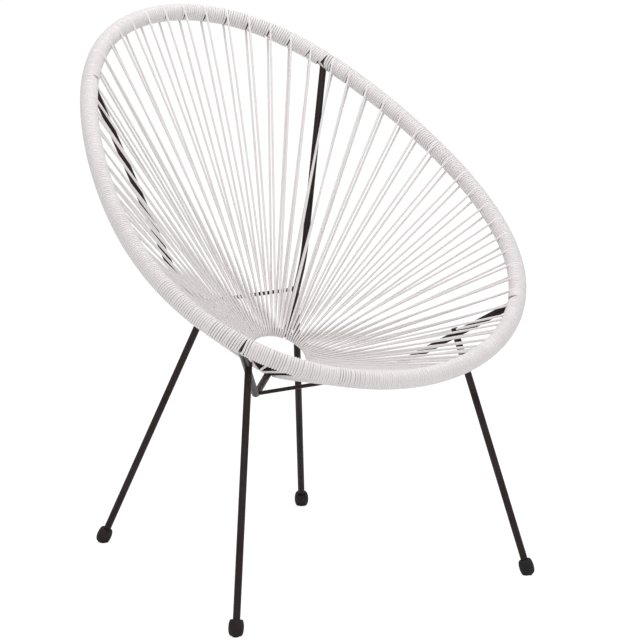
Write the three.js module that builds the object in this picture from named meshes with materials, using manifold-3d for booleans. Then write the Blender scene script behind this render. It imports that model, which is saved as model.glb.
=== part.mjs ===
// Acapulco chair: a tilted egg-shaped hoop, a small seat ring, four bent ribs, four splayed legs with
// rubber foot caps, two cross braces, and one long round cord wound on the hoop and laced to the ring.
// Millimetres, +Z up, -Y is the front, origin on the floor under the middle of the hoop.

import * as THREE from 'three';
import Module from 'manifold-3d';
import { mergeVertices } from 'three/addons/utils/BufferGeometryUtils.js';

const wasm = await Module();
wasm.setup();

// Hoop: an egg in one tilted plane, wider towards the front
const hoopLength = 900;
const hoopWidth = 690;
const hoopHeight = 649;
const hoopTilt = THREE.MathUtils.degToRad(34);
const hoopTube = 22;
const eggShares = [0.2, 0.08, -0.08];
const eggSamples = 180;

// Seat ring: a round steel ring at the bottom of the bowl
const ringRadius = 56;
const ringHeight = 359.4;
const ringBack = 32;
const ringTilt = THREE.MathUtils.degToRad(29);

// Steel rod of the ribs, legs and ring, and the thinner rod of the braces
const rod = 12;
const braceRod = 6.5;

// Ribs: the back ones bend behind and above the ring, the front ones under the front strands
const backBend = { out: 131.5, back: 154.5, aboveRing: 127.6 };
const backBendReach = 30;
const frontBend = { out: 122, forward: 84, underStrands: 18.5 };
const frontBendReach = 15;
const bendSteps = 5;
const ribSeatDrop = 6;
const ribSeatAngles = [THREE.MathUtils.degToRad(46.8), THREE.MathUtils.degToRad(137.5)];

// Legs: foot places, how far along the rib each leg meets it and how far inside the rib's own line,
// and how far the end stands past the rib
const backFoot = { out: 209.4, back: 279.8 };
const frontFoot = { out: 291.4, forward: 287.2 };
const backLegShare = 0.447;
const frontLegShare = 0.426;
const backLegInside = 0;
const frontLegInside = 3.3;
const legPastRib = 4;

// The front brace joins the two front bends this many steps into each; the back brace lies this far behind
// and below a place along each back rib
const frontBraceSteps = 4;
const backBraceShare = 0.4;
const backBraceBehind = 9;
const backBraceDrop = 2;

// Foot caps: rubber barrels pushed on the leg ends
const capDiameter = 25;
const capHeight = 27;
const capMouth = 18;
const capToe = 11;
const capSole = 2.5;
const capFloor = 7;
const capBarrelShares = [[0.82, 0.08], [0.95, 0.26], [1, 0.5], [0.98, 0.72], [0.88, 0.92]];
const trimBlock = 116;

// Cord, and how its strand pairs crowd towards the front of the hoop
const cord = 4;
const cordFlatShare = 0.8;
const cordSpare = 0.15;
const crowdWide = 108;
const crowdFine = 20;
const ringCrowd = THREE.MathUtils.degToRad(3.5);
const ribPlaceShares = [1 / 3, 29 / 36];
const ribPlaceShifts = [-0.05, -0.15];
const ribSeatEase = 1;

// Gap left between neighbouring pieces
const clear = 0.3;

const steel = () => new THREE.MeshStandardMaterial({ color: 0x3a3130, roughness: 0.42, metalness: 0.55 });
const cordVinyl = () => new THREE.MeshStandardMaterial({ color: 0xdcd8d8, roughness: 0.5, metalness: 0 });
const rubber = () => new THREE.MeshStandardMaterial({ color: 0x141213, roughness: 0.85, metalness: 0 });

const chair = new THREE.Group();

function addPiece(name, geometry, material) {
  const mesh = new THREE.Mesh(geometry, material);
  mesh.name = name;
  chair.add(mesh);
}

// Shells made of rings of points
// Each ring runs the same way round; a closed row of rings makes a torus-like shell.
function skin(rings, closed = false) {
  const sides = rings[0].length;
  const index = [];
  const bands = closed ? rings.length : rings.length - 1;
  for (let i = 0; i < bands; i++) {
    const near = i * sides;
    const far = ((i + 1) % rings.length) * sides;
    for (let k = 0; k < sides; k++) {
      const next = (k + 1) % sides;
      index.push(near + k, near + next, far + next, near + k, far + next, far + k);
    }
  }
  if (!closed) {
    const end = (rings.length - 1) * sides;
    for (let k = 1; k < sides - 1; k++) {
      index.push(0, k + 1, k, end, end + k, end + k + 1);
    }
  }
  const geometry = new THREE.BufferGeometry();
  const points = rings.flat().flatMap((point) => point.toArray());
  geometry.setAttribute('position', new THREE.Float32BufferAttribute(points, 3));
  geometry.setIndex(index);
  return geometry;
}

// One ring of points round a place, square to a direction, with its first point near a given side
function roundRing(place, along, side, radius, sides) {
  const u = side.clone().addScaledVector(along, -side.dot(along)).normalize();
  const v = along.clone().cross(u);
  return Array.from({ length: sides }, (_, k) => {
    const turn = ((k + 0.5) / sides) * 2 * Math.PI;
    return place.clone()
      .addScaledVector(u, radius * Math.cos(turn))
      .addScaledVector(v, radius * Math.sin(turn));
  });
}

// Directions at the points of a path, halfway between the stretches that meet there
function pathDirections(path) {
  return path.map((_, i) => {
    const before = path[Math.max(i - 1, 0)];
    const here = path[i];
    const after = path[Math.min(i + 1, path.length - 1)];
    const inward = here.clone().sub(before).normalize();
    const outward = after.clone().sub(here).normalize();
    return inward.add(outward).normalize();
  });
}

// Round rod along a path of points
function rodAlong(path, diameter, sides = 8) {
  const along = pathDirections(path);
  const side = new THREE.Vector3(0, 0, 1).cross(along[0]).normalize();
  return skin(path.map((place, i) => roundRing(place, along[i], side, diameter / 2, sides)));
}

function toSolid(geometry) {
  const bare = geometry.clone();
  bare.deleteAttribute('normal');
  bare.deleteAttribute('uv');
  const merged = mergeVertices(bare);
  return new wasm.Manifold(new wasm.Mesh({
    numProp: 3,
    vertProperties: new Float32Array(merged.attributes.position.array),
    triVerts: new Uint32Array(merged.index.array),
  }));
}

function toGeometry(solid) {
  const mesh = solid.getMesh();
  const geometry = new THREE.BufferGeometry();
  geometry.setAttribute('position', new THREE.BufferAttribute(mesh.vertProperties, 3));
  geometry.setIndex(new THREE.BufferAttribute(mesh.triVerts, 1));
  return geometry;
}

// The rod itself, without the slivers that a cope leaves beyond it
function largestOf(solid) {
  return solid.decompose().reduce((a, b) => (a.volume() > b.volume() ? a : b));
}

// Hoop centre line, by turn from the front centre, +X side first
class HoopCurve extends THREE.Curve {
  static swell(turn) {
    const c = Math.cos(turn);
    return Math.sin(turn) * (1 + eggShares[0] * c + eggShares[1] * c ** 2 + eggShares[2] * c ** 3);
  }

  static widest = Math.max(
    ...Array.from({ length: eggSamples }, (_, i) => HoopCurve.swell((i / eggSamples) * Math.PI)),
  );

  getPoint(t) {
    const turn = t * 2 * Math.PI;
    const reach = -(hoopLength / 2) * Math.cos(turn);
    return new THREE.Vector3(
      (hoopWidth / 2) * (HoopCurve.swell(turn) / HoopCurve.widest),
      reach * Math.cos(hoopTilt),
      hoopHeight + reach * Math.sin(hoopTilt),
    );
  }
}

const hoop = new HoopCurve();
hoop.arcLengthDivisions = 1440;
const hoopAround = hoop.getLength();
const hoopNormal = new THREE.Vector3(0, -Math.sin(hoopTilt), Math.cos(hoopTilt));

// Place on the hoop at a distance round it from the front centre, negative to the left
function onHoop(distance) {
  const share = THREE.MathUtils.euclideanModulo(distance / hoopAround, 1);
  return { place: hoop.getPointAt(share), along: hoop.getTangentAt(share) };
}

// Place on the seat ring at an angle from its front, positive to the right
function onRing(angle) {
  const reach = -ringRadius * Math.cos(angle);
  const place = new THREE.Vector3(
    ringRadius * Math.sin(angle),
    ringBack + reach * Math.cos(ringTilt),
    ringHeight + reach * Math.sin(ringTilt),
  );
  const rise = Math.sin(angle);
  const along = new THREE.Vector3(
    Math.cos(angle),
    rise * Math.cos(ringTilt),
    rise * Math.sin(ringTilt),
  );
  return { place, along };
}

const ringNormal = new THREE.Vector3(0, -Math.sin(ringTilt), Math.cos(ringTilt));

// Strand pairs: as many on each quarter of the ring as the cord leaves room for
const cordHalf = (cord * cordFlatShare) / 2;
const strandOffHoop = hoopTube / 2 + clear + cordHalf * Math.SQRT2;
const strandOffRing = rod / 2 + clear + cordHalf;
const loopCircle = 2 * Math.PI * (ringRadius - strandOffRing);
const pairsInQuarter = Math.floor(loopCircle / (4 * (cord + cordSpare)));
const halfPairs = 2 * pairsInQuarter;

// Pair numbers run from 0 at the front centre to halfPairs at the back centre
const pairAngle = (number) => (number / halfPairs) * Math.PI;

// The ribs meet the hoop between two pairs
const ribNumbers = ribPlaceShares.map((share, i) => Math.round(share * halfPairs) + ribPlaceShifts[i]);

// Distance round the hoop with no rib in the way
function freeDistance(number) {
  const angle = pairAngle(number);
  return (hoopAround / 2) * (number / halfPairs)
    - crowdWide * Math.sin(angle) - crowdFine * Math.sin(2 * angle);
}

// Angle of a loop on the ring; its under side is pushed clear of the ribs welded there, its top half as far
const ribSeatClear = (rod / 2 + cordHalf - ribSeatEase) / ringRadius;

function loopAngle(number, push) {
  const even = pairAngle(number) + ringCrowd * Math.sin(pairAngle(number));
  const size = Math.abs(even);
  const middle = (ribSeatAngles[0] + ribSeatAngles[1]) / 2;
  const [seat, near, far] = size < middle
    ? [ribSeatAngles[0], 0, middle]
    : [ribSeatAngles[1], middle, Math.PI];
  const span = size > seat ? far - seat : seat - near;
  const away = push + Math.abs(size - seat) * (1 - push / span);
  return Math.sign(even) * (seat + Math.sign(size - seat) * away);
}

// Centre line of a rib on one side: where it leaves the hoop, its corner, and its seat under the ring
const ringFront = onRing(0).place;
const hoopFront = onHoop(0).place;
const underStrandsAt = (-frontBend.forward - ringFront.y) / (hoopFront.y - ringFront.y);
const frontBendHeight = ringFront.clone().lerp(hoopFront, underStrandsAt).z - frontBend.underStrands;

function ribCorners(side, end) {
  const back = end === 'back';
  const which = back ? 1 : 0;
  return {
    start: onHoop(side * freeDistance(ribNumbers[which])).place,
    corner: back
      ? new THREE.Vector3(side * backBend.out, backBend.back, ringHeight + backBend.aboveRing)
      : new THREE.Vector3(side * frontBend.out, -frontBend.forward, frontBendHeight),
    seat: onRing(side * ribSeatAngles[which]).place.addScaledVector(ringNormal, -ribSeatDrop),
  };
}

// One strand pair: from the top of the hoop, round the inner side of the ring, back under the hoop
function strandPath(number, distance) {
  const { place: anchor, along: hoopAlong } = onHoop(distance);
  const topAngle = loopAngle(number, 0);
  const underAngle = loopAngle(number, ribSeatClear);
  const overRing = (share, up, inward) => {
    const { place, along } = onRing(topAngle + (underAngle - topAngle) * share);
    const outward = anchor.clone().sub(place).normalize();
    const normal = outward.clone().cross(along).normalize();
    const reach = along.clone().cross(normal);
    return {
      place: place.addScaledVector(normal, up).addScaledVector(reach, -inward),
      side: along,
    };
  };
  const corner = strandOffRing * Math.tan(Math.PI / 6);
  const loop = [
    overRing(0, strandOffRing, corner),
    overRing(0.5, 0, strandOffRing / Math.cos(Math.PI / 6)),
    overRing(1, -strandOffRing, corner),
  ];
  const start = overRing(0, 0, 0).place;
  const hoopSide = anchor.clone().sub(start).normalize().cross(hoopAlong).normalize();
  const top = anchor.clone().addScaledVector(hoopSide, strandOffHoop);
  const under = anchor.clone().addScaledVector(hoopSide, -strandOffHoop);
  return [{ place: top, side: loop[0].side }, ...loop, { place: under, side: loop[2].side }];
}

// How far the pair beside a rib moves along the hoop until its under strand clears the rib, found by halving
const pushHalvings = 12;

function pushOff(number, end, away) {
  const { start, corner } = ribCorners(1, end);
  const room = rod / 2 + clear + cordHalf * Math.SQRT2;
  let [near, far] = [0, freeDistance(number + 1) - freeDistance(number)];
  for (let i = 0; i < pushHalvings; i++) {
    const push = (near + far) / 2;
    const [loopEnd, hoopEnd] = strandPath(number, freeDistance(number) + away * push).slice(-2);
    const strand = new THREE.Ray(hoopEnd.place, loopEnd.place.clone().sub(hoopEnd.place).normalize());
    if (strand.distanceSqToSegment(start, corner) < room ** 2) {
      near = push;
    } else {
      far = push;
    }
  }
  return far;
}

const frontPush = pushOff(Math.round(ribNumbers[0]) - 0.5, 'front', -1);
const backPushes = [-1, 1].map((away) => pushOff(Math.round(ribNumbers[1]) + away / 2, 'back', away));

// Distance round the hoop: pairs in front of the front rib share its push, the back rib moves the next two
function hoopDistance(number) {
  const size = Math.abs(number);
  const [frontRibNumber, backRibNumber] = ribNumbers;
  let pushed = 0;
  if (size < frontRibNumber) {
    pushed = -frontPush * (size / frontRibNumber);
  } else if (size > backRibNumber - 1 && size < backRibNumber) {
    pushed = -backPushes[0];
  } else if (size > backRibNumber && size < backRibNumber + 1) {
    pushed = backPushes[1];
  }
  return freeDistance(number) + Math.sign(number) * pushed;
}

// Hoop tube
const tubeSides = 8;

// Pair numbers strictly between two others where the hoop's facets meet: closer together past the front ribs
function facetNumbers(from, to) {
  const numbers = [];
  for (let number = Math.floor(from * 2 + 1) / 2; number < to; number += 0.5) {
    if (Math.abs(number) > ribNumbers[0] || Number.isInteger(number)) {
      numbers.push(number);
    }
  }
  return numbers;
}

function hoopTubeGeometry(diameter, numbers, closed) {
  const rings = numbers.map((number) => {
    const { place, along } = onHoop(hoopDistance(number));
    return roundRing(place, along, hoopNormal, diameter / 2, tubeSides);
  });
  return skin(rings, closed);
}

const allRound = [-halfPairs, ...facetNumbers(-halfPairs, halfPairs)];
addPiece('hoop_tube', hoopTubeGeometry(hoopTube, allRound, true), steel());

// Seat ring
function ringGeometry(diameter) {
  const geometry = new THREE.TorusGeometry(ringRadius, diameter / 2, 8, 36);
  geometry.rotateX(ringTilt);
  geometry.translate(0, ringBack, ringHeight);
  return geometry;
}

addPiece('seat_ring', ringGeometry(rod), steel());

// Bent ribs from the hoop down to the ring
function bentPath(start, bend, end, reach) {
  const first = bend.clone().add(start.clone().sub(bend).setLength(reach));
  const last = bend.clone().add(end.clone().sub(bend).setLength(reach));
  return [start, ...new THREE.QuadraticBezierCurve3(first, bend, last).getPoints(bendSteps), end];
}

const sideName = (side) => (side > 0 ? 'right' : 'left');
const ribs = {};

function addRib(name, side, end, number, reach) {
  const { start, corner, seat } = ribCorners(side, end);
  const path = bentPath(start, corner, seat, reach);
  const nearby = facetNumbers(side * number - 2, side * number + 2);
  const grown = hoopTubeGeometry(hoopTube + 2 * clear, nearby, false);
  const coped = toSolid(rodAlong(path, rod))
    .subtract(toSolid(grown))
    .subtract(toSolid(ringGeometry(rod + 2 * clear)));
  addPiece(name, toGeometry(largestOf(coped)), steel());
  ribs[name] = { path, start, corner, seat, grown: toSolid(rodAlong(path, rod + 2 * clear)) };
}

for (const side of [-1, 1]) {
  addRib(`rib_back_${sideName(side)}`, side, 'back', ribNumbers[1], backBendReach);
  addRib(`rib_front_${sideName(side)}`, side, 'front', ribNumbers[0], frontBendReach);
}

// Legs, each coped where it crosses its rib, and the caps on their feet
function capGeometry() {
  const socket = rod / 2 + clear;
  const barrel = capBarrelShares.map(([across, up]) => [(capDiameter / 2) * across, capHeight * up]);
  const profile = [
    [socket, capFloor],
    [0, capFloor],
    [0, -capSole],
    [capToe / 2, -capSole],
    ...barrel,
    [capMouth / 2, capHeight],
    [socket, capHeight],
  ].map(([radius, height]) => new THREE.Vector2(radius, height));
  const geometry = new THREE.LatheGeometry([...profile, profile[0].clone()], 14);
  geometry.rotateX(Math.PI / 2);
  return geometry;
}

function floorBlock() {
  const geometry = new THREE.BoxGeometry(trimBlock, trimBlock, trimBlock);
  geometry.translate(0, 0, -trimBlock / 2);
  return geometry;
}

function addLeg(end, side, rib, ribAlong, inside, sole) {
  const inner = rib.legTop.clone().sub(sole).cross(ribAlong).normalize();
  inner.multiplyScalar(-side * Math.sign(inner.x));
  const crossing = rib.legTop.clone().addScaledVector(inner, inside);
  const along = crossing.clone().sub(sole).normalize();
  const start = sole.clone().addScaledVector(along, capFloor + clear);
  const top = crossing.addScaledVector(along, legPastRib);
  const leg = toSolid(rodAlong([start, top], rod)).subtract(rib.grown);
  rib.grownLeg = toSolid(rodAlong([start, top], rod + 2 * clear));
  const place = `${end}_${sideName(side)}`;
  addPiece(`leg_${place}`, toGeometry(largestOf(leg)), steel());

  const cap = capGeometry();
  cap.applyQuaternion(new THREE.Quaternion().setFromUnitVectors(new THREE.Vector3(0, 0, 1), along));
  cap.translate(sole.x, sole.y, 0);
  const ground = floorBlock();
  ground.translate(sole.x, sole.y, 0);
  addPiece(`foot_cap_${place}`, toGeometry(toSolid(cap).subtract(toSolid(ground))), rubber());
}

for (const side of [-1, 1]) {
  const back = ribs[`rib_back_${sideName(side)}`];
  const front = ribs[`rib_front_${sideName(side)}`];
  back.legTop = back.corner.clone().lerp(back.seat, backLegShare);
  front.legTop = front.start.clone().lerp(front.corner, frontLegShare);
  addLeg('back', side, back, back.seat.clone().sub(back.corner), backLegInside,
    new THREE.Vector3(side * backFoot.out, backFoot.back, 0));
  addLeg('front', side, front, front.corner.clone().sub(front.start), frontLegInside,
    new THREE.Vector3(side * frontFoot.out, -frontFoot.forward, 0));
}

// Cross braces: one behind the back legs' tops, one between the two front bends
function addBrace(name, left, right, leftRib, rightRib) {
  let bar = toSolid(rodAlong([left, right], braceRod));
  for (const rib of [leftRib, rightRib]) {
    bar = bar.subtract(rib.grown).subtract(rib.grownLeg);
  }
  addPiece(name, toGeometry(largestOf(bar)), steel());
}

const atBend = (rib) => rib.path[1 + frontBraceSteps].clone();
const behind = (rib) => rib.corner.clone().lerp(rib.seat, backBraceShare)
  .add(new THREE.Vector3(0, backBraceBehind, -backBraceDrop));
addBrace('brace_back', behind(ribs.rib_back_left), behind(ribs.rib_back_right),
  ribs.rib_back_left, ribs.rib_back_right);
addBrace('brace_front', atBend(ribs.rib_front_left), atBend(ribs.rib_front_right),
  ribs.rib_front_left, ribs.rib_front_right);

// Four-sided tube along a path whose points each say which way is sideways
function strandGeometry(path) {
  const rings = path.map(({ place, side }, i) => {
    const inward = i > 0 ? place.clone().sub(path[i - 1].place).normalize() : null;
    const outward = i < path.length - 1 ? path[i + 1].place.clone().sub(place).normalize() : null;
    const along = (inward ?? outward).clone().add(outward ?? inward).normalize();
    const square = side.clone().addScaledVector(along, -side.dot(along)).normalize();
    const normal = along.clone().cross(square).normalize();
    const mitre = 1 / along.dot(outward ?? inward);
    return [[1, 1], [-1, 1], [-1, -1], [1, -1]].map(([a, b]) => place.clone()
      .addScaledVector(square, a * cordHalf)
      .addScaledVector(normal, b * cordHalf * mitre));
  });
  return skin(rings);
}

// Winding on the hoop between two places: a sleeve with a swelling for each group of turns
const sleeveSides = 8;
const windingDepth = 0.8;
const grooveReach = 3;
const sleeveBore = (hoopTube / 2 + clear) / Math.cos(Math.PI / sleeveSides);
const windingRadius = hoopTube / 2 + cord;

function sleeveGeometry(from, to) {
  const ringAt = (distance, radius) => {
    const { place, along } = onHoop(distance);
    return roundRing(place, along, hoopNormal, radius, sleeveSides);
  };
  const outer = [ringAt(from.distance, windingRadius)];
  const bore = [ringAt(from.distance, sleeveBore)];
  for (const number of facetNumbers(from.number, to.number)) {
    const distance = hoopDistance(number);
    bore.push(ringAt(distance, sleeveBore));
    if (Number.isInteger(number)) {
      outer.push(ringAt(distance - grooveReach, windingRadius));
      outer.push(ringAt(distance, windingRadius - windingDepth));
      outer.push(ringAt(distance + grooveReach, windingRadius));
    }
  }
  outer.push(ringAt(to.distance, windingRadius));
  bore.push(ringAt(to.distance, sleeveBore));
  return skin([...outer, ...bore.reverse()], true);
}

function addLacing(name, start, finish) {
  const from = { number: start, distance: hoopDistance(start) + clear / 2 };
  const to = { number: finish, distance: hoopDistance(finish) - clear / 2 };
  let solid = toSolid(sleeveGeometry(from, to));
  for (const rib of Object.values(ribs)) {
    solid = solid.subtract(rib.grown);
  }
  for (let number = Math.ceil(start - 0.5) + 0.5; number < finish; number++) {
    solid = solid.add(toSolid(strandGeometry(strandPath(number, hoopDistance(number)))));
  }
  addPiece(name, toGeometry(solid), cordVinyl());
}

// The lacing is parted at the ribs and into stretches between them
const [frontRib, backRib] = ribNumbers;
const stretch = (from, to, share) => Math.round(from + (to - from) * share);
const quarterCuts = [frontRib, ...[1, 2, 3].map((k) => stretch(frontRib, backRib, k / 4)), backRib];

for (const side of [-1, 1]) {
  const add = (name, near, far) => {
    const [start, finish] = side > 0 ? [near, far] : [-far, -near];
    addLacing(`${name}_${sideName(side)}`, start, finish);
  };
  add('lacing_front_inner', 0, stretch(0, frontRib, 0.5));
  add('lacing_front_outer', stretch(0, frontRib, 0.5), frontRib);
  for (let k = 0; k < 4; k++) {
    add(`lacing_side_${k + 1}`, quarterCuts[k], quarterCuts[k + 1]);
  }
  add('lacing_back', backRib, halfPairs);
}

export default chair;
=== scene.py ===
import math
import random

import bpy
import numpy as np
from mathutils import Matrix, Vector


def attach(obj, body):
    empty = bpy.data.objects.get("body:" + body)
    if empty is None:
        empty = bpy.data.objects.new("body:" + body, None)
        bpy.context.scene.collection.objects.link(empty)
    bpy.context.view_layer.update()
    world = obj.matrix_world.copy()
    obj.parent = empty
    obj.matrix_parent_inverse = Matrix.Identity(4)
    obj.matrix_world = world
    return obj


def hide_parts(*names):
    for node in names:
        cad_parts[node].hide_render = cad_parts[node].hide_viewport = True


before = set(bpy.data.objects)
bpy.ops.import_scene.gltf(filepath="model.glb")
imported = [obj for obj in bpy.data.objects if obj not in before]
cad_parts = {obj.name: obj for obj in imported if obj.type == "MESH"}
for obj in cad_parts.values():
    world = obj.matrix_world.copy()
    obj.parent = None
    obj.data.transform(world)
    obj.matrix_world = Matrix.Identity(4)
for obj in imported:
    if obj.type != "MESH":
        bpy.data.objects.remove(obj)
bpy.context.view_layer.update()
mm = 0.001
print("stage: frame loaded")

# Camera at the photograph's angle, with a long lens
cameraSetup = {
    "place": (-2693.0, -4097.7, 1514.5),
    "turn": -33.91,  # degrees about the vertical
    "tip": 12.57,  # degrees below the horizon
    "lens": 168.75,
    "sensor": 36.0,
    "farthest": 50,  # metres
}


def placeCamera(setup):
    bpy.ops.object.camera_add(
        location=[value * mm for value in setup["place"]],
        rotation=(math.radians(90 - setup["tip"]), 0, math.radians(setup["turn"])),
    )
    camera = bpy.context.object
    camera.name = "photoCamera"
    camera.data.lens = setup["lens"]
    camera.data.sensor_width = setup["sensor"]
    camera.data.clip_end = setup["farthest"]
    bpy.context.scene.camera = camera


placeCamera(cameraSetup)
print("stage: camera placed")

# The frame's sizes in millimetres, as the solids have them. Where a rib's value is a pair, the front rib's
# is first.
frameSizes = {
    "hoopLength": 900,
    "hoopWidth": 690,
    "hoopHeight": 649,
    "hoopTilt": math.radians(34),
    "eggShares": (0.2, 0.08, -0.08),  # how the hoop's outline departs from an ellipse
    "hoopTube": 22,
    "ringRadius": 56,
    "ringHeight": 359.4,
    "ringBack": 32,  # behind the hoop's middle
    "ringTilt": math.radians(29),
    "rod": 12,
    "braceRod": 6.5,
    "backBend": (131.5, 154.5, 487),  # the place of the corner that the rod is bent round
    "backBendReach": 30,  # from that corner to where the bend begins
    "frontBend": (122, -84, 326),
    "frontBendReach": 15,
    "ribSeatDrop": 6,  # below the ring's own line
    "ribEndsShort": (2.5, 7),  # here the rods end this much before their seats
    "ribSeatAngles": (math.radians(46.8), math.radians(137.5)),
    "backFoot": (209.4, 279.8),
    "frontFoot": (291.4, -287.2),
    "backLegShare": 0.447,  # where the leg crosses, as a share of the way from the back bend to the ring
    "frontLegShare": 0.426,  # and of the way from the hoop to the front bend
    "backLegInside": 0,
    "frontLegInside": 3.3,
    "legPastRib": 11,  # here a leg's top stands out further than in the solids
    "frontBraceShare": 0.25,  # a bend's middle, as a share of the bend's reach
    "backBraceShare": 0.4,  # of the way from the back bend to the ring
    "backBraceBehind": 9,
    "backBraceDrop": 2,
}

# The cord and how its strand pairs are spread, as the solids have them. Pairs are numbered from the front
# centre.
cordSizes = {
    "diameter": 3.9,
    "halfPairs": 36,
    "crowdWide": 108,  # how far the pairs at the sides are moved towards the front
    "crowdFine": 20,
    "ringCrowd": math.radians(3.5),
    "ribNumbers": (11.95, 28.85),  # where the ribs meet the hoop, counted in pairs
    "frontPush": 6.6,  # how far the pairs beside a rib move to let it through
    "backPush": 3.4,
    "ribSeatClear": 6.6 / frameSizes["ringRadius"],  # an angle on the ring
    "backSeatShare": 0.45,  # here the loops come closer over the back ribs' ends
}


def unit(vector):
    return vector / np.linalg.norm(vector)


# Hoop: an egg in one tilted plane, measured along its length from the front centre
def hoopSwell(turn):
    c = np.cos(turn)
    a, b, d = frameSizes["eggShares"]
    return np.sin(turn) * (1 + a * c + b * c**2 + d * c**3)


hoopSamples = 2881
hoopTurns = np.linspace(0, 2 * np.pi, hoopSamples)
hoopWidest = hoopSwell(hoopTurns).max()


def hoopByTurn(turn):
    s = frameSizes
    reach = -(s["hoopLength"] / 2) * np.cos(turn)
    return np.stack([
        (s["hoopWidth"] / 2) * hoopSwell(turn) / hoopWidest,
        reach * math.cos(s["hoopTilt"]),
        s["hoopHeight"] + reach * math.sin(s["hoopTilt"]),
    ], axis=-1)


hoopSteps = np.linalg.norm(np.diff(hoopByTurn(hoopTurns), axis=0), axis=1)
hoopLengths = np.concatenate([[0], np.cumsum(hoopSteps)])
hoopAround = hoopLengths[-1]
hoopNormal = np.array([0, -math.sin(frameSizes["hoopTilt"]), math.cos(frameSizes["hoopTilt"])])


def onHoop(distance):
    turn = np.interp(distance % hoopAround, hoopLengths, hoopTurns)
    nudge = 0.001
    return hoopByTurn(turn), unit(hoopByTurn(turn + nudge) - hoopByTurn(turn - nudge))


# Seat ring: a place on it, and the direction along it there, by the angle from its front
def onRing(angle):
    s = frameSizes
    reach = -s["ringRadius"] * math.cos(angle)
    place = np.array([
        s["ringRadius"] * math.sin(angle),
        s["ringBack"] + reach * math.cos(s["ringTilt"]),
        s["ringHeight"] + reach * math.sin(s["ringTilt"]),
    ])
    rise = math.sin(angle)
    return place, np.array([math.cos(angle), rise * math.cos(s["ringTilt"]), rise * math.sin(s["ringTilt"])])


ringNormal = np.array([0, -math.sin(frameSizes["ringTilt"]), math.cos(frameSizes["ringTilt"])])


# Where a strand pair leaves the hoop, as a distance from the front centre; the pairs crowd towards the front
def hoopDistance(number):
    c = cordSizes
    front, back = c["ribNumbers"]
    angle = number / c["halfPairs"] * math.pi
    pushed = 0
    if abs(number) < front:
        pushed = c["frontPush"] * number / front
    elif back - 1 < abs(number) < back:
        pushed = math.copysign(c["backPush"], number)
    return (hoopAround / 2 * number / c["halfPairs"] - c["crowdWide"] * math.sin(angle)
            - c["crowdFine"] * math.sin(2 * angle) - pushed)


# Angle of a loop on the ring; its under side is pushed clear of the ribs welded there
def loopAngle(number, push):
    even = number / cordSizes["halfPairs"] * math.pi
    even += cordSizes["ringCrowd"] * math.sin(even)
    size = abs(even)
    front, back = frameSizes["ribSeatAngles"]
    middle = (front + back) / 2
    seat, near, far = (front, 0, middle) if size < middle else (back, middle, math.pi)
    if seat == back:
        push *= cordSizes["backSeatShare"]
    span = far - seat if size > seat else seat - near
    away = push + abs(size - seat) * (1 - push / span)
    return math.copysign(seat + math.copysign(away, size - seat), even)


# Materials: node groups that several finishes share, then one material for each finish
def groupSockets(group, inputs, outputs):
    for name, kind, value in inputs:
        socket = group.interface.new_socket(name=name, in_out="INPUT", socket_type=kind)
        socket.default_value = value
    for name, kind in outputs:
        group.interface.new_socket(name=name, in_out="OUTPUT", socket_type=kind)
    return group.nodes.new("NodeGroupInput"), group.nodes.new("NodeGroupOutput")


def addNode(tree, kind, links=(), **settings):
    node = tree.nodes.new(kind)
    for name, value in settings.items():
        setattr(node, name, value)
    for socket, source in links:
        if hasattr(source, "is_output"):
            tree.links.new(source, node.inputs[socket])
        else:
            node.inputs[socket].default_value = source
    return node


noiseRange = (0.3, 0.7)
mottleNoise = {"detail": 4.0, "roughness": 0.6}
grainNoise = {"detail": 3.0, "height": 0.0005}


def makeMottleGroup():
    group = bpy.data.node_groups.new("mottle", "ShaderNodeTree")
    source, sink = groupSockets(group, [
        ("Size", "NodeSocketFloat", 40.0),
        ("Contrast", "NodeSocketFloat", 0.5),
        ("Light", "NodeSocketColor", (0.8, 0.8, 0.8, 1)),
        ("Dark", "NodeSocketColor", (0.7, 0.7, 0.7, 1)),
    ], [("Color", "NodeSocketColor")])
    place = addNode(group, "ShaderNodeTexCoord")
    noise = addNode(group, "ShaderNodeTexNoise", [
        ("Vector", place.outputs["Object"]), ("Scale", source.outputs["Size"]),
        ("Detail", mottleNoise["detail"]), ("Roughness", mottleNoise["roughness"])])
    spread = addNode(group, "ShaderNodeMapRange", [
        ("Value", noise.outputs["Fac"]), ("From Min", noiseRange[0]), ("From Max", noiseRange[1])])
    strength = addNode(group, "ShaderNodeMath", [
        (0, spread.outputs["Result"]), (1, source.outputs["Contrast"])], operation="MULTIPLY")
    mix = addNode(group, "ShaderNodeMix", [
        ("Factor", strength.outputs[0]), ("A", source.outputs["Light"]), ("B", source.outputs["Dark"])],
        data_type="RGBA")
    color = next(socket for socket in mix.outputs if socket.type == "RGBA")
    group.links.new(color, sink.inputs["Color"])
    return group


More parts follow.
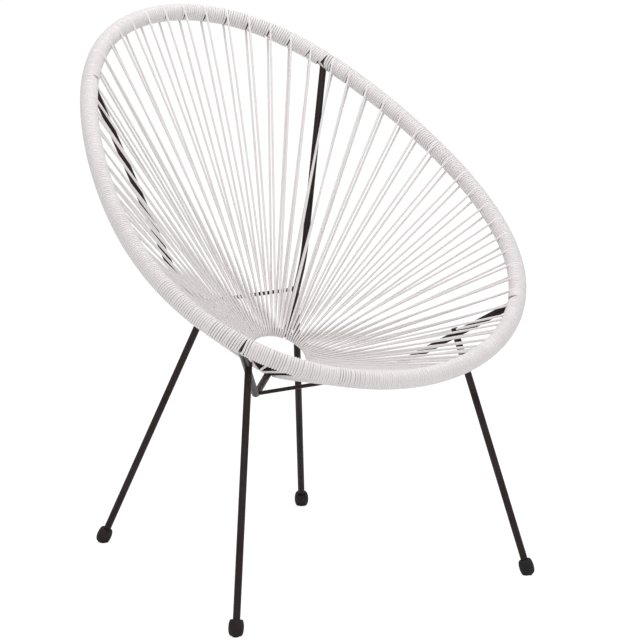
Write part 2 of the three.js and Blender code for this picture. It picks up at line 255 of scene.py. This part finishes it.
def makeGrainGroup():
    group = bpy.data.node_groups.new("fineGrain", "ShaderNodeTree")
    source, sink = groupSockets(group, [
        ("Size", "NodeSocketFloat", 400.0),
        ("Depth", "NodeSocketFloat", 0.1),
        ("Low", "NodeSocketFloat", 0.4),
        ("High", "NodeSocketFloat", 0.5),
    ], [("Normal", "NodeSocketVector"), ("Roughness", "NodeSocketFloat")])
    place = addNode(group, "ShaderNodeTexCoord")
    noise = addNode(group, "ShaderNodeTexNoise", [
        ("Vector", place.outputs["Object"]), ("Scale", source.outputs["Size"]),
        ("Detail", grainNoise["detail"])])
    bump = addNode(group, "ShaderNodeBump", [
        ("Strength", source.outputs["Depth"]), ("Distance", grainNoise["height"]),
        ("Height", noise.outputs["Fac"])])
    rough = addNode(group, "ShaderNodeMapRange", [
        ("Value", noise.outputs["Fac"]), ("From Min", noiseRange[0]), ("From Max", noiseRange[1]),
        ("To Min", source.outputs["Low"]), ("To Max", source.outputs["High"])])
    group.links.new(bump.outputs["Normal"], sink.inputs["Normal"])
    group.links.new(rough.outputs["Result"], sink.inputs["Roughness"])
    return group


mottleGroup = makeMottleGroup()
grainGroup = makeGrainGroup()


def useGroup(tree, group, **values):
    node = tree.nodes.new("ShaderNodeGroup")
    node.node_tree = group
    for name, value in values.items():
        node.inputs[name].default_value = value
    return node


# Each finish: two colours and the size of their patches, then the grain and the roughness that goes with it
finishes = {
    "frameBlack": {
        "light": (0.037, 0.025, 0.0225, 1), "dark": (0.013, 0.0082, 0.0072, 1),
        "patch": 22.0, "contrast": 0.9,
        "grain": 900.0, "depth": 0.1, "low": 0.28, "high": 0.38, "specular": 0.15,
    },
    "cordWhite": {
        "light": (0.82, 0.787, 0.783, 1), "dark": (0.775, 0.742, 0.737, 1),
        "patch": 35.0, "contrast": 0.8,
        "grain": 300.0, "depth": 0.02, "low": 0.38, "high": 0.44, "specular": 0.4,
    },
    "capRubber": {
        "light": (0.026, 0.02, 0.0185, 1), "dark": (0.01, 0.0075, 0.007, 1),
        "patch": 60.0, "contrast": 0.9,
        "grain": 600.0, "depth": 0.35, "low": 0.62, "high": 0.8, "specular": 0.25,
    },
}


def makeFinish(name):
    values = finishes[name]
    material = bpy.data.materials.new(name)
    material.use_nodes = True
    tree = material.node_tree
    shader = tree.nodes["Principled BSDF"]
    mottle = useGroup(tree, mottleGroup, Size=values["patch"], Contrast=values["contrast"],
                      Light=values["light"], Dark=values["dark"])
    grain = useGroup(tree, grainGroup, Size=values["grain"], Depth=values["depth"],
                     Low=values["low"], High=values["high"])
    tree.links.new(mottle.outputs["Color"], shader.inputs["Base Color"])
    tree.links.new(grain.outputs["Roughness"], shader.inputs["Roughness"])
    tree.links.new(grain.outputs["Normal"], shader.inputs["Normal"])
    shader.inputs["Specular IOR Level"].default_value = values["specular"]
    return material


materials = {name: makeFinish(name) for name in finishes}
print("stage: finishes made")


# What every new piece gets: its name, its finish, its body; the solid of the node that it stands for is
# hidden
def settlePiece(piece, name, finish, node):
    piece.name = name
    piece.data.name = name
    piece.data.materials.clear()
    piece.data.materials.append(materials[finish])
    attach(piece, "root")
    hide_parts(node)


def clearSelection():
    bpy.ops.object.select_all(action="DESELECT")


def toMesh(piece):
    clearSelection()
    piece.select_set(True)
    bpy.context.view_layer.objects.active = piece
    bpy.ops.object.convert(target="MESH")
    return bpy.context.object


# How finely the rods are drawn, and the small distances between their ends and what covers them
drawn = {
    "hoopSteps": 240,
    "hoopSides": 24,
    "hoopUnderCord": 0.2,
    "ringSteps": 72,
    "rodSides": 20,
    "bendSteps": 10,
    "joinDistance": 0.00001,
    "crease": math.radians(40),
    "legEndBevel": 0.6,
    "bevelSegments": 2,
    "legInCap": 0.3,
}


# A round bar or cord along a row of points, with a width at each point
def tubeAlong(points, diameter, sides, closed=False, widths=None):
    curve = bpy.data.curves.new("route", "CURVE")
    curve.dimensions = "3D"
    curve.twist_mode = "MINIMUM"
    curve.bevel_depth = diameter / 2 * mm
    curve.bevel_resolution = (sides - 4) // 2  # a curve's bevel has 4 sides and 2 for each step of this
    curve.use_fill_caps = not closed
    spline = curve.splines.new("POLY")
    spline.points.add(len(points) - 1)
    spline.use_cyclic_u = closed
    flat = np.column_stack([np.asarray(points) * mm, np.ones(len(points))])
    spline.points.foreach_set("co", flat.ravel())
    if widths is not None:
        spline.points.foreach_set("radius", np.asarray(widths, dtype=float))
    piece = bpy.data.objects.new("route", curve)
    bpy.context.collection.objects.link(piece)
    piece = toMesh(piece)
    bpy.ops.object.shade_smooth()
    return piece


# Frame: hoop tube and seat ring
hoopLine = [onHoop(hoopAround * k / drawn["hoopSteps"])[0] for k in range(drawn["hoopSteps"])]
hoopSteel = frameSizes["hoopTube"] - drawn["hoopUnderCord"]
settlePiece(tubeAlong(hoopLine, hoopSteel, drawn["hoopSides"], closed=True),
            "hoopTube", "frameBlack", "hoop_tube")
ringLine = [onRing(2 * math.pi * k / drawn["ringSteps"])[0] for k in range(drawn["ringSteps"])]
settlePiece(tubeAlong(ringLine, frameSizes["rod"], drawn["rodSides"], closed=True),
            "seatRing", "frameBlack", "seat_ring")
print("stage: hoop and ring made")


# Ribs: a circle drawn out from the hoop, spun round its bend and drawn on to the ring
def startSection(place, direction, diameter):
    clearSelection()
    turn = Vector(direction).to_track_quat("Z", "Y").to_euler()
    bpy.ops.mesh.primitive_circle_add(vertices=drawn["rodSides"], radius=diameter / 2 * mm,
                                      fill_type="NOTHING", location=Vector(place) * mm, rotation=turn)
    bpy.ops.object.transform_apply(location=True, rotation=True, scale=True)
    bpy.ops.object.mode_set(mode="EDIT")
    bpy.ops.mesh.select_all(action="SELECT")


def drawOut(step):
    bpy.ops.mesh.extrude_region_move(TRANSFORM_OT_translate={"value": Vector(step) * mm})


def closeSection():
    bpy.ops.mesh.select_all(action="SELECT")
    bpy.ops.mesh.fill_holes(sides=0)
    bpy.ops.mesh.select_all(action="SELECT")
    bpy.ops.mesh.remove_doubles(threshold=drawn["joinDistance"])
    bpy.ops.mesh.normals_make_consistent(inside=False)
    bpy.ops.object.mode_set(mode="OBJECT")
    bpy.ops.object.shade_smooth_by_angle(angle=drawn["crease"])
    return bpy.context.object


def bentRod(start, bend, end, reach, diameter):
    inward, outward = unit(bend - start), unit(end - bend)
    startSection(start, inward, diameter)
    drawOut(bend - inward * reach - start)
    axis = unit(np.cross(inward, outward))
    angle = math.acos(np.dot(inward, outward))
    radius = reach / math.tan(angle / 2)
    centre = bend - inward * reach + np.cross(axis, inward) * radius
    bpy.ops.mesh.spin(steps=drawn["bendSteps"], angle=-angle, center=Vector(centre) * mm, axis=Vector(axis))
    drawOut(end - bend - outward * reach)
    return closeSection()


# A rib's three places: where it leaves the hoop, its corner and its seat on the ring
def ribPoints(side, which):
    s = frameSizes
    start = onHoop(side * hoopDistance(cordSizes["ribNumbers"][which]))[0]
    bend = np.array((s["frontBend"], s["backBend"])[which]) * (side, 1, 1)
    seat = onRing(side * s["ribSeatAngles"][which])[0] - ringNormal * s["ribSeatDrop"]
    return start, bend, seat


def straightRod(start, end, diameter, bevel=0.0):
    startSection(start, unit(end - start), diameter)
    drawOut(end - start)
    rod = closeSection()
    if bevel:
        edge = rod.modifiers.new("roundEnd", "BEVEL")
        edge.width = bevel * mm
        edge.segments = drawn["bevelSegments"]
        edge.limit_method = "ANGLE"
        bpy.ops.object.modifier_apply(modifier=edge.name)
    return rod


sideNames = {-1: "left", 1: "right"}
endNames = ("front", "back")
for side, sideName in sideNames.items():
    for which, end in enumerate(endNames):
        start, bend, seat = ribPoints(side, which)
        reach = frameSizes[end + "BendReach"]
        seat = seat - unit(seat - bend) * frameSizes["ribEndsShort"][which]
        settlePiece(bentRod(start, bend, seat, reach, frameSizes["rod"]),
                    f"rib_{end}_{sideName}_steel", "frameBlack", f"rib_{end}_{sideName}")
print("stage: ribs bent")

# Legs and foot caps
capSizes = {
    "sides": 32,
    "sole": 2.5,  # below the floor, before the cap is cut level
    "floor": 7,  # of rubber, under the leg's end
    # the outline, as radius and height, from the toe up the barrel and into the mouth
    "outline": ((5.5, 0.0), (8.2, 0.6), (10.2, 2.2), (11.5, 5.2), (12.3, 9.4), (12.5, 13.5), (12.35, 18),
                (11.8, 21.8), (11.0, 24.8), (10.2, 26.2), (9.0, 27.0), (7.4, 27.0), (6.4, 26.4), (6.1, 22)),
}


# A leg from its foot to where it crosses its rib, a little inside the rib's own line
def legEnds(side, which, end):
    s = frameSizes
    start, bend, seat = ribPoints(side, which)
    near, far = (bend, seat) if end == "back" else (start, bend)
    foot = np.array((*s[end + "Foot"], 0)) * (side, 1, 1)
    crossing = near + (far - near) * s[end + "LegShare"]
    inner = unit(np.cross(crossing - foot, far - near))
    inner = inner * -side * math.copysign(1, inner[0])
    crossing = crossing + inner * s[end + "LegInside"]
    direction = unit(crossing - foot)
    return foot, direction, crossing + direction * s["legPastRib"]


def footCap(foot, direction):
    clearSelection()
    outline = capSizes["outline"]
    radius, height = outline[0][0], -capSizes["sole"]
    bpy.ops.mesh.primitive_circle_add(vertices=capSizes["sides"], radius=radius * mm, fill_type="NOTHING",
                                      location=(0, 0, height * mm))
    bpy.ops.object.transform_apply(location=True, rotation=True, scale=True)
    bpy.ops.object.mode_set(mode="EDIT")
    bpy.ops.mesh.select_all(action="SELECT")
    for newRadius, newHeight in outline:
        drawOut((0, 0, newHeight - height))
        size = newRadius / radius
        bpy.ops.transform.resize(value=(size, size, 1), center_override=(0, 0, 0))
        radius, height = newRadius, newHeight
    bpy.ops.object.mode_set(mode="OBJECT")
    cap = bpy.context.object
    turn = Vector((0, 0, 1)).rotation_difference(Vector(direction))
    cap.matrix_world = Matrix.Translation(Vector((foot[0], foot[1], 0)) * mm) @ turn.to_matrix().to_4x4()
    bpy.ops.object.transform_apply(location=True, rotation=True, scale=True)
    bpy.ops.object.mode_set(mode="EDIT")
    bpy.ops.mesh.select_all(action="SELECT")
    bpy.ops.mesh.bisect(plane_co=(0, 0, 0), plane_no=(0, 0, 1), clear_inner=True, use_fill=False)
    return closeSection()


for side, sideName in sideNames.items():
    for which, end in enumerate(endNames):
        foot, direction, top = legEnds(side, which, end)
        start = foot + direction * (capSizes["floor"] + drawn["legInCap"])
        node = f"leg_{end}_{sideName}"
        settlePiece(straightRod(start, top, frameSizes["rod"], drawn["legEndBevel"]),
                    f"{node}_steel", "frameBlack", node)
        node = f"foot_cap_{end}_{sideName}"
        settlePiece(footCap(foot, direction), f"{node}_rubber", "capRubber", node)


# Cross braces: the back one behind a place on each back rib, the front one in the middle of each front bend
def backBraceEnd(side):
    s = frameSizes
    bend, seat = ribPoints(side, 1)[1:]
    behind = np.array((0, s["backBraceBehind"], -s["backBraceDrop"]))
    return bend + (seat - bend) * s["backBraceShare"] + behind


def frontBraceEnd(side):
    start, bend, seat = ribPoints(side, 0)
    turned = unit(seat - bend) - unit(bend - start)
    return bend + turned * frameSizes["frontBendReach"] * frameSizes["frontBraceShare"]


for name, braceEnd in (("brace_back", backBraceEnd), ("brace_front", frontBraceEnd)):
    settlePiece(straightRod(braceEnd(-1), braceEnd(1), frameSizes["braceRod"]),
                f"{name}_steel", "frameBlack", name)
print("stage: legs, caps and braces made")

# The cord: one long piece, wound on the hoop and led to the ring and back at each strand pair
winding = {
    "pitch": 3.98,
    "stepsPerTurn": 20,
    "fewestSteps": 4,  # from one stop to the next
    "sides": 8,
    "reach": frameSizes["hoopTube"] / 2 + cordSizes["diameter"] / 2,
    "press": 1.04,  # how much wider the cord spreads where turns are pressed together
    "drift": 0.1,  # how far a turn strays along the hoop
    "driftPerTurn": 1.5,
    "lift": 0.06,  # how far a turn strays off the hoop
    "liftPerTurn": 2.3,
    "pairSplit": 1.6,  # along the hoop, between the two strands of a pair
    "pairClose": 1.7,  # how far the turns beside a pair close the gap that it leaves on the inner side
    "closeFade": 5.0,
    "closePower": 1.5,  # how soon that ends, going round towards the hoop's outer side
    "ribFade": 45.0,  # how fast a rib's parting closes along the hoop
    "ribReach": 3,  # times that, past which the parting is left out
    "crossSharp": 0.25,  # how far the cord takes along the hoop to cross a parting
    "shiftFrom": 30,  # degrees from the rib at which a parting starts to move along the hoop
    "shiftOver": 60,
}

# How the turns part round a rib: how far, by degrees round the hoop from where the rib leaves it,
# where the cord crosses over, and how far the parting moves along the hoop on the side away from the rib
ribPartings = {
    (-1, "front"): {
        "parts": ((-124, 0), (-40, 6.2), (40, 6.2), (76, 3.3), (236, 0)),
        "cross": 96, "shift": 9,
    },
    (1, "front"): {
        "parts": ((-140, 0), (-40, 6.2), (40, 6.2), (120, 0), (220, 0)),
        "cross": 45, "shift": 0,
    },
    (-1, "back"): {
        "parts": ((-140, 0), (-40, 6.2), (40, 6.2), (140, 0), (220, 0)),
        "cross": -45, "shift": 0,
    },
    (1, "back"): {
        "parts": ((-140, 0), (-63, 2.4), (-40, 6.2), (40, 6.2), (140, 0), (220, 0)),
        "cross": -60, "shift": -5,
    },
}
loops = {
    "reach": frameSizes["rod"] / 2 + cordSizes["diameter"] / 2,
    "steps": 10,
    "squeeze": 0.9,  # the cord's width where it is pulled round the ring
    "stray": 0.25,  # how far a loop strays along the ring
    "strayPerPair": 3,
    "settlings": 3,  # rounds in which a strand's two ends find their places
}
strands = {
    "bowPlaces": (0.12, 0.5, 0.88),  # shares of a strand's length
    "bow": 0.35,  # how far a strand strays from its straight line, at most
    "strayPerPair": 2.0,
    "secondStrand": 0.3,  # what the pair's second strand is ahead of the first in the row of strays
}

# Small strays from one row of random numbers; each use starts at a place of its own
strayRow = {"seed": 7, "count": 8000, "step": 3, "useStep": 1777}
strayUses = {"drift": 1, "lift": 2, "loopTop": 4, "loopUnder": 5, "bow": 6}
strayStarts = {"loopTop": 500, "loopUnder": 900}
chance = random.Random(strayRow["seed"])
strays = [chance.uniform(-1, 1) for _ in range(strayRow["count"])]


def strayAt(position, use):
    low = math.floor(position)
    first = low * strayRow["step"] + strayUses[use] * strayRow["useStep"]
    a = strays[first % len(strays)]
    b = strays[(first + strayRow["step"]) % len(strays)]
    return a + (b - a) * (position - low)


# The hoop at a distance: its place, its direction, inwards in its plane, and down, square to its plane
def sectionAxes(distance):
    place, along = onHoop(distance)
    inner = -np.cross(along, hoopNormal)
    return place, along, inner, -hoopNormal


# Where each rib meets the hoop: its distance, the turn at which it leaves, and where the cord crosses over
def ribOnHoop(side, which, end):
    distance = side * hoopDistance(cordSizes["ribNumbers"][which])
    start, bend = ribPoints(side, which)[:2]
    inner, under = sectionAxes(distance)[2:]
    direction = unit(bend - start)
    turn = math.atan2(np.dot(direction, under), np.dot(direction, inner))
    parting = ribPartings[side, end]
    degrees, widths = zip(*parting["parts"])
    return {"distance": distance, "turn": turn, "crossTurn": turn + math.radians(parting["cross"]),
            "crossDistance": distance + parting["shift"], "shift": parting["shift"],
            "degrees": degrees, "widths": widths}


ribsOnHoop = [ribOnHoop(side, which, end) for side in sideNames for which, end in enumerate(endNames)]
halfPairs = cordSizes["halfPairs"]
pairPlaces = np.array([hoopDistance(k + 0.5) for k in range(-halfPairs - 1, halfPairs + 1)])


# How far the winding moves along the hoop at one side of a rib, to leave room for it
def ribMove(rib, distance, turn):
    gap = (distance - rib["distance"] + hoopAround / 2) % hoopAround - hoopAround / 2
    if abs(gap) >= winding["ribReach"] * winding["ribFade"]:
        return 0
    least = rib["degrees"][0]
    degrees = (math.degrees(turn - rib["turn"]) - least) % 360 + least
    gap -= rib["shift"] * min(max((abs(degrees) - winding["shiftFrom"]) / winding["shiftOver"], 0), 1)
    width = np.interp(degrees, rib["degrees"], rib["widths"])
    return math.tanh(gap / winding["crossSharp"]) * width * math.exp(-abs(gap) / winding["ribFade"])


def windingPoint(distance, turn, turnsDone):
    away = distance + winding["drift"] * strayAt(turnsDone * winding["driftPerTurn"], "drift")
    for rib in ribsOnHoop:
        away += ribMove(rib, distance, turn)
    nearest = pairPlaces[np.abs(pairPlaces - distance).argmin()]
    toInner = 1 - abs((turn + math.pi) % (2 * math.pi) - math.pi) / math.pi
    away -= (math.tanh(distance - nearest) * winding["pairClose"] * toInner**winding["closePower"]
             * math.exp(-abs(distance - nearest) / winding["closeFade"]))
    place, _, inner, under = sectionAxes(away)
    lifted = (1 + strayAt(turnsDone * winding["liftPerTurn"], "lift")) / 2
    radius = winding["reach"] + winding["lift"] * lifted
    return place + radius * (math.cos(turn) * inner + math.sin(turn) * under)


# One strand from the hoop to the ring: its end on each, and the turn at which it meets the winding
def strandEnds(angle, hoopPlace, upward):
    anchor, hoopAlong, inner, under = sectionAxes(hoopPlace)
    ringPlace, ringAlong = onRing(angle)
    hoopEnd, ringEnd = anchor, ringPlace
    for _ in range(loops["settlings"]):
        outward = unit(hoopEnd - ringEnd)
        hoopSide = unit(np.cross(outward, hoopAlong)) * upward
        ringSide = unit(np.cross(outward, ringAlong)) * upward
        hoopEnd = anchor + hoopSide * winding["reach"]
        ringEnd = ringPlace + ringSide * loops["reach"]
    turn = math.atan2(np.dot(hoopSide, under), np.dot(hoopSide, inner))
    return {"distance": hoopPlace, "turn": turn % (2 * math.pi), "hoop": hoopEnd, "ring": ringEnd,
            "outward": outward}


# A strand pair: one strand over the ring, one under it; past the back centre the numbers start again
def strandPair(number):
    own = number if number < halfPairs else number - 2 * halfPairs
    distance = hoopDistance(own) if own == number else hoopAround + hoopDistance(own)
    split = winding["pairSplit"] / 2
    jitter = loops["stray"] / frameSizes["ringRadius"]
    angles = []
    for use, push in (("loopTop", 0), ("loopUnder", cordSizes["ribSeatClear"])):
        stray = strayAt(own * loops["strayPerPair"] + strayStarts[use], use)
        angles.append(loopAngle(own, push) + jitter * stray)
    return {"number": number, "angles": angles,
            "leave": strandEnds(angles[0], distance - split, 1),
            "join": strandEnds(angles[1], distance + split, -1)}


# The half turn round the ring's inner side, from the upper strand to the lower one
def loopPoints(pair):
    top, bottom = pair["angles"]
    points = []
    for k in range(1, loops["steps"]):
        share = k / loops["steps"]
        ringPlace, ringAlong = onRing(top + (bottom - top) * share)
        outward = unit(pair["leave"]["outward"] * (1 - share) + pair["join"]["outward"] * share)
        side = unit(np.cross(outward, ringAlong))
        inward = -unit(np.cross(ringAlong, side))
        turn = math.pi * share
        points.append(ringPlace + loops["reach"] * (math.cos(turn) * side + math.sin(turn) * inward))
    return points


def strandPoints(start, end, seed):
    points = []
    for k, share in enumerate(strands["bowPlaces"]):
        bow = strands["bow"] * strayAt(seed * strands["strayPerPair"] + k, "bow")
        points.append(start + (end - start) * share + np.array((bow, bow, -abs(bow))))
    return points


# How far the winding has turned in all by its next stop, where it has to come round to a given turn
def turnAt(distance, turn, last, fewest):
    wanted = last[1] + (distance - last[0]) / winding["pitch"] * 2 * math.pi
    return turn + 2 * math.pi * max(fewest, round((wanted - turn) / (2 * math.pi)))


# Between two pairs: distance and turn where the winding starts, crosses a rib's parting, and ends
def windingStops(join, leave):
    stops = [(join["distance"], join["turn"])]
    for rib in ribsOnHoop:
        if join["distance"] < rib["crossDistance"] < leave["distance"]:
            turn = turnAt(rib["crossDistance"], rib["crossTurn"], stops[-1], -math.inf)
            stops.append((rib["crossDistance"], turn))
    stops.append((leave["distance"], turnAt(leave["distance"], leave["turn"], stops[-1], 0)))
    return stops


# The whole route as one list: where each point is, its distance along the hoop, and its width
def cordRoute():
    route = []
    turnsDone = 0.0
    pairs = [strandPair(k + 0.5) for k in range(-halfPairs, halfPairs + 1)]
    for near, far in zip(pairs, pairs[1:]):
        leave, join = far["leave"], far["join"]
        stops = windingStops(near["join"], leave)
        for (fromDistance, fromTurn), (toDistance, toTurn) in zip(stops, stops[1:]):
            steps = round((toTurn - fromTurn) / (2 * math.pi) * winding["stepsPerTurn"])
            count = max(winding["fewestSteps"], steps)
            for k in range(count):
                share = k / count
                distance = fromDistance + (toDistance - fromDistance) * share
                turn = fromTurn + (toTurn - fromTurn) * share
                done = turnsDone + (turn - stops[0][1]) / (2 * math.pi)
                route.append((windingPoint(distance, turn, done), distance, winding["press"]))
        turnsDone += (stops[-1][1] - stops[0][1]) / (2 * math.pi)
        end = windingPoint(leave["distance"], leave["turn"], turnsDone)
        route.append((end, leave["distance"], winding["press"]))
        middle = leave["distance"] + winding["pairSplit"] / 2
        down = strandPoints(leave["hoop"], leave["ring"], far["number"])
        ring = [leave["ring"], *loopPoints(far), join["ring"]]
        back = strandPoints(join["ring"], join["hoop"], far["number"] + strands["secondStrand"])
        route += [(point, middle, 1.0) for point in down]
        route += [(point, middle, loops["squeeze"]) for point in ring]
        route += [(point, middle, 1.0) for point in back]
    return route, turnsDone


route, turnsDone = cordRoute()
routePoints = np.array([entry[0] for entry in route])
cordLength = np.linalg.norm(np.diff(routePoints, axis=0), axis=1).sum() * mm
print(f"stage: cord led, {turnsDone:.0f} turns on the hoop, {cordLength:.1f} m in all")

# Each stretch of the cord between two places on the hoop is a piece
frontRib, backRib = cordSizes["ribNumbers"]
sideParts = 4
cuts = [round(frontRib + (backRib - frontRib) * k / sideParts) for k in range(1, sideParts)]
cuts = [frontRib, *cuts, backRib]
stretches = [("front_inner", 0, round(frontRib / 2)), ("front_outer", round(frontRib / 2), frontRib)]
stretches += [(f"side_{k + 1}", cuts[k], cuts[k + 1]) for k in range(sideParts)]
stretches += [("back", backRib, halfPairs)]


# The points of one stretch, and one more, where the next stretch begins
def routeBetween(low, high):
    inside = [k for k, (_, distance, _) in enumerate(route) if low <= distance <= high]
    keep = route[inside[0]:inside[-1] + 2]
    if low < hoopDistance(-halfPairs + 0.5):
        # past the back centre the route starts again at the other end
        keep = [entry for entry in route if entry[1] - hoopAround >= low] + keep
    return keep


for name, near, far in stretches:
    for side, sideName in sideNames.items():
        low, high = sorted((side * hoopDistance(near), side * hoopDistance(far)))
        points, _, widths = zip(*routeBetween(low, high))
        piece = tubeAlong(points, cordSizes["diameter"], winding["sides"], widths=widths)
        settlePiece(piece, f"cord_{name}_{sideName}", "cordWhite", f"lacing_{name}_{sideName}")
print("stage: cord laced")

# Studio: a pale floor that fades into white, a white world and soft lamps
studio = {
    "floorSize": 40.0,
    "floorColor": (0.9, 0.9, 0.9, 1),
    "floorGlow": 0.72,  # how much of the floor that the camera sees is plain white
    "glowStrength": 1.2,
    "world": 0.65,  # how much light the white world gives; the camera sees it at full white
    "lamps": (
        # name, place in metres, width, power in watts, aim
        ("keyLamp", (-2.2, -3.5, 3.0), 2.0, 34.0, (0, 0, 0.5)),
        ("fillLamp", (1.6, -4.0, 2.4), 2.0, 3.0, (0, 0, 0.5)),
        ("topLamp", (0.4, 0.2, 3.2), 2.4, 36.0, (0, 0, 0.4)),
        ("backLamp", (0.6, 3.2, 3.0), 2.6, 10.0, (0, 0, 0.6)),
    ),
}


def makeFloor():
    clearSelection()
    bpy.ops.mesh.primitive_plane_add(size=studio["floorSize"], location=(0, 0, 0))
    floor = bpy.context.object
    floor.name = "studioFloor"
    material = bpy.data.materials.new("studioWhite")
    material.use_nodes = True
    tree = material.node_tree
    tree.nodes.clear()
    path = addNode(tree, "ShaderNodeLightPath")
    share = addNode(tree, "ShaderNodeMath", [(0, path.outputs["Is Camera Ray"]), (1, studio["floorGlow"])],
                    operation="MULTIPLY")
    plain = addNode(tree, "ShaderNodeBsdfDiffuse", [("Color", studio["floorColor"])])
    white = addNode(tree, "ShaderNodeEmission", [
        ("Color", (1, 1, 1, 1)), ("Strength", studio["glowStrength"])])
    mix = addNode(tree, "ShaderNodeMixShader", [
        (0, share.outputs[0]), (1, plain.outputs[0]), (2, white.outputs[0])])
    addNode(tree, "ShaderNodeOutputMaterial", [("Surface", mix.outputs[0])])
    floor.data.materials.append(material)


def makeWorld():
    world = bpy.data.worlds.new("studioWorld")
    world.use_nodes = True
    tree = world.node_tree
    tree.nodes.clear()
    path = addNode(tree, "ShaderNodeLightPath")
    strength = addNode(tree, "ShaderNodeMapRange", [
        ("Value", path.outputs["Is Camera Ray"]), ("To Min", studio["world"]), ("To Max", 1.0)])
    sky = addNode(tree, "ShaderNodeBackground", [("Color", (1, 1, 1, 1)), ("Strength", strength.outputs[0])])
    addNode(tree, "ShaderNodeOutputWorld", [("Surface", sky.outputs[0])])
    bpy.context.scene.world = world


def makeLamps():
    for name, place, width, power, aim in studio["lamps"]:
        turn = (Vector(aim) - Vector(place)).to_track_quat("-Z", "Y").to_euler()
        bpy.ops.object.light_add(type="AREA", location=place, rotation=turn)
        lamp = bpy.context.object
        lamp.name = name
        lamp.data.shape = "DISK"
        lamp.data.size = width
        lamp.data.energy = power


makeFloor()
makeWorld()
makeLamps()
bpy.context.scene.view_settings.view_transform = "Standard"
print("stage: studio set")
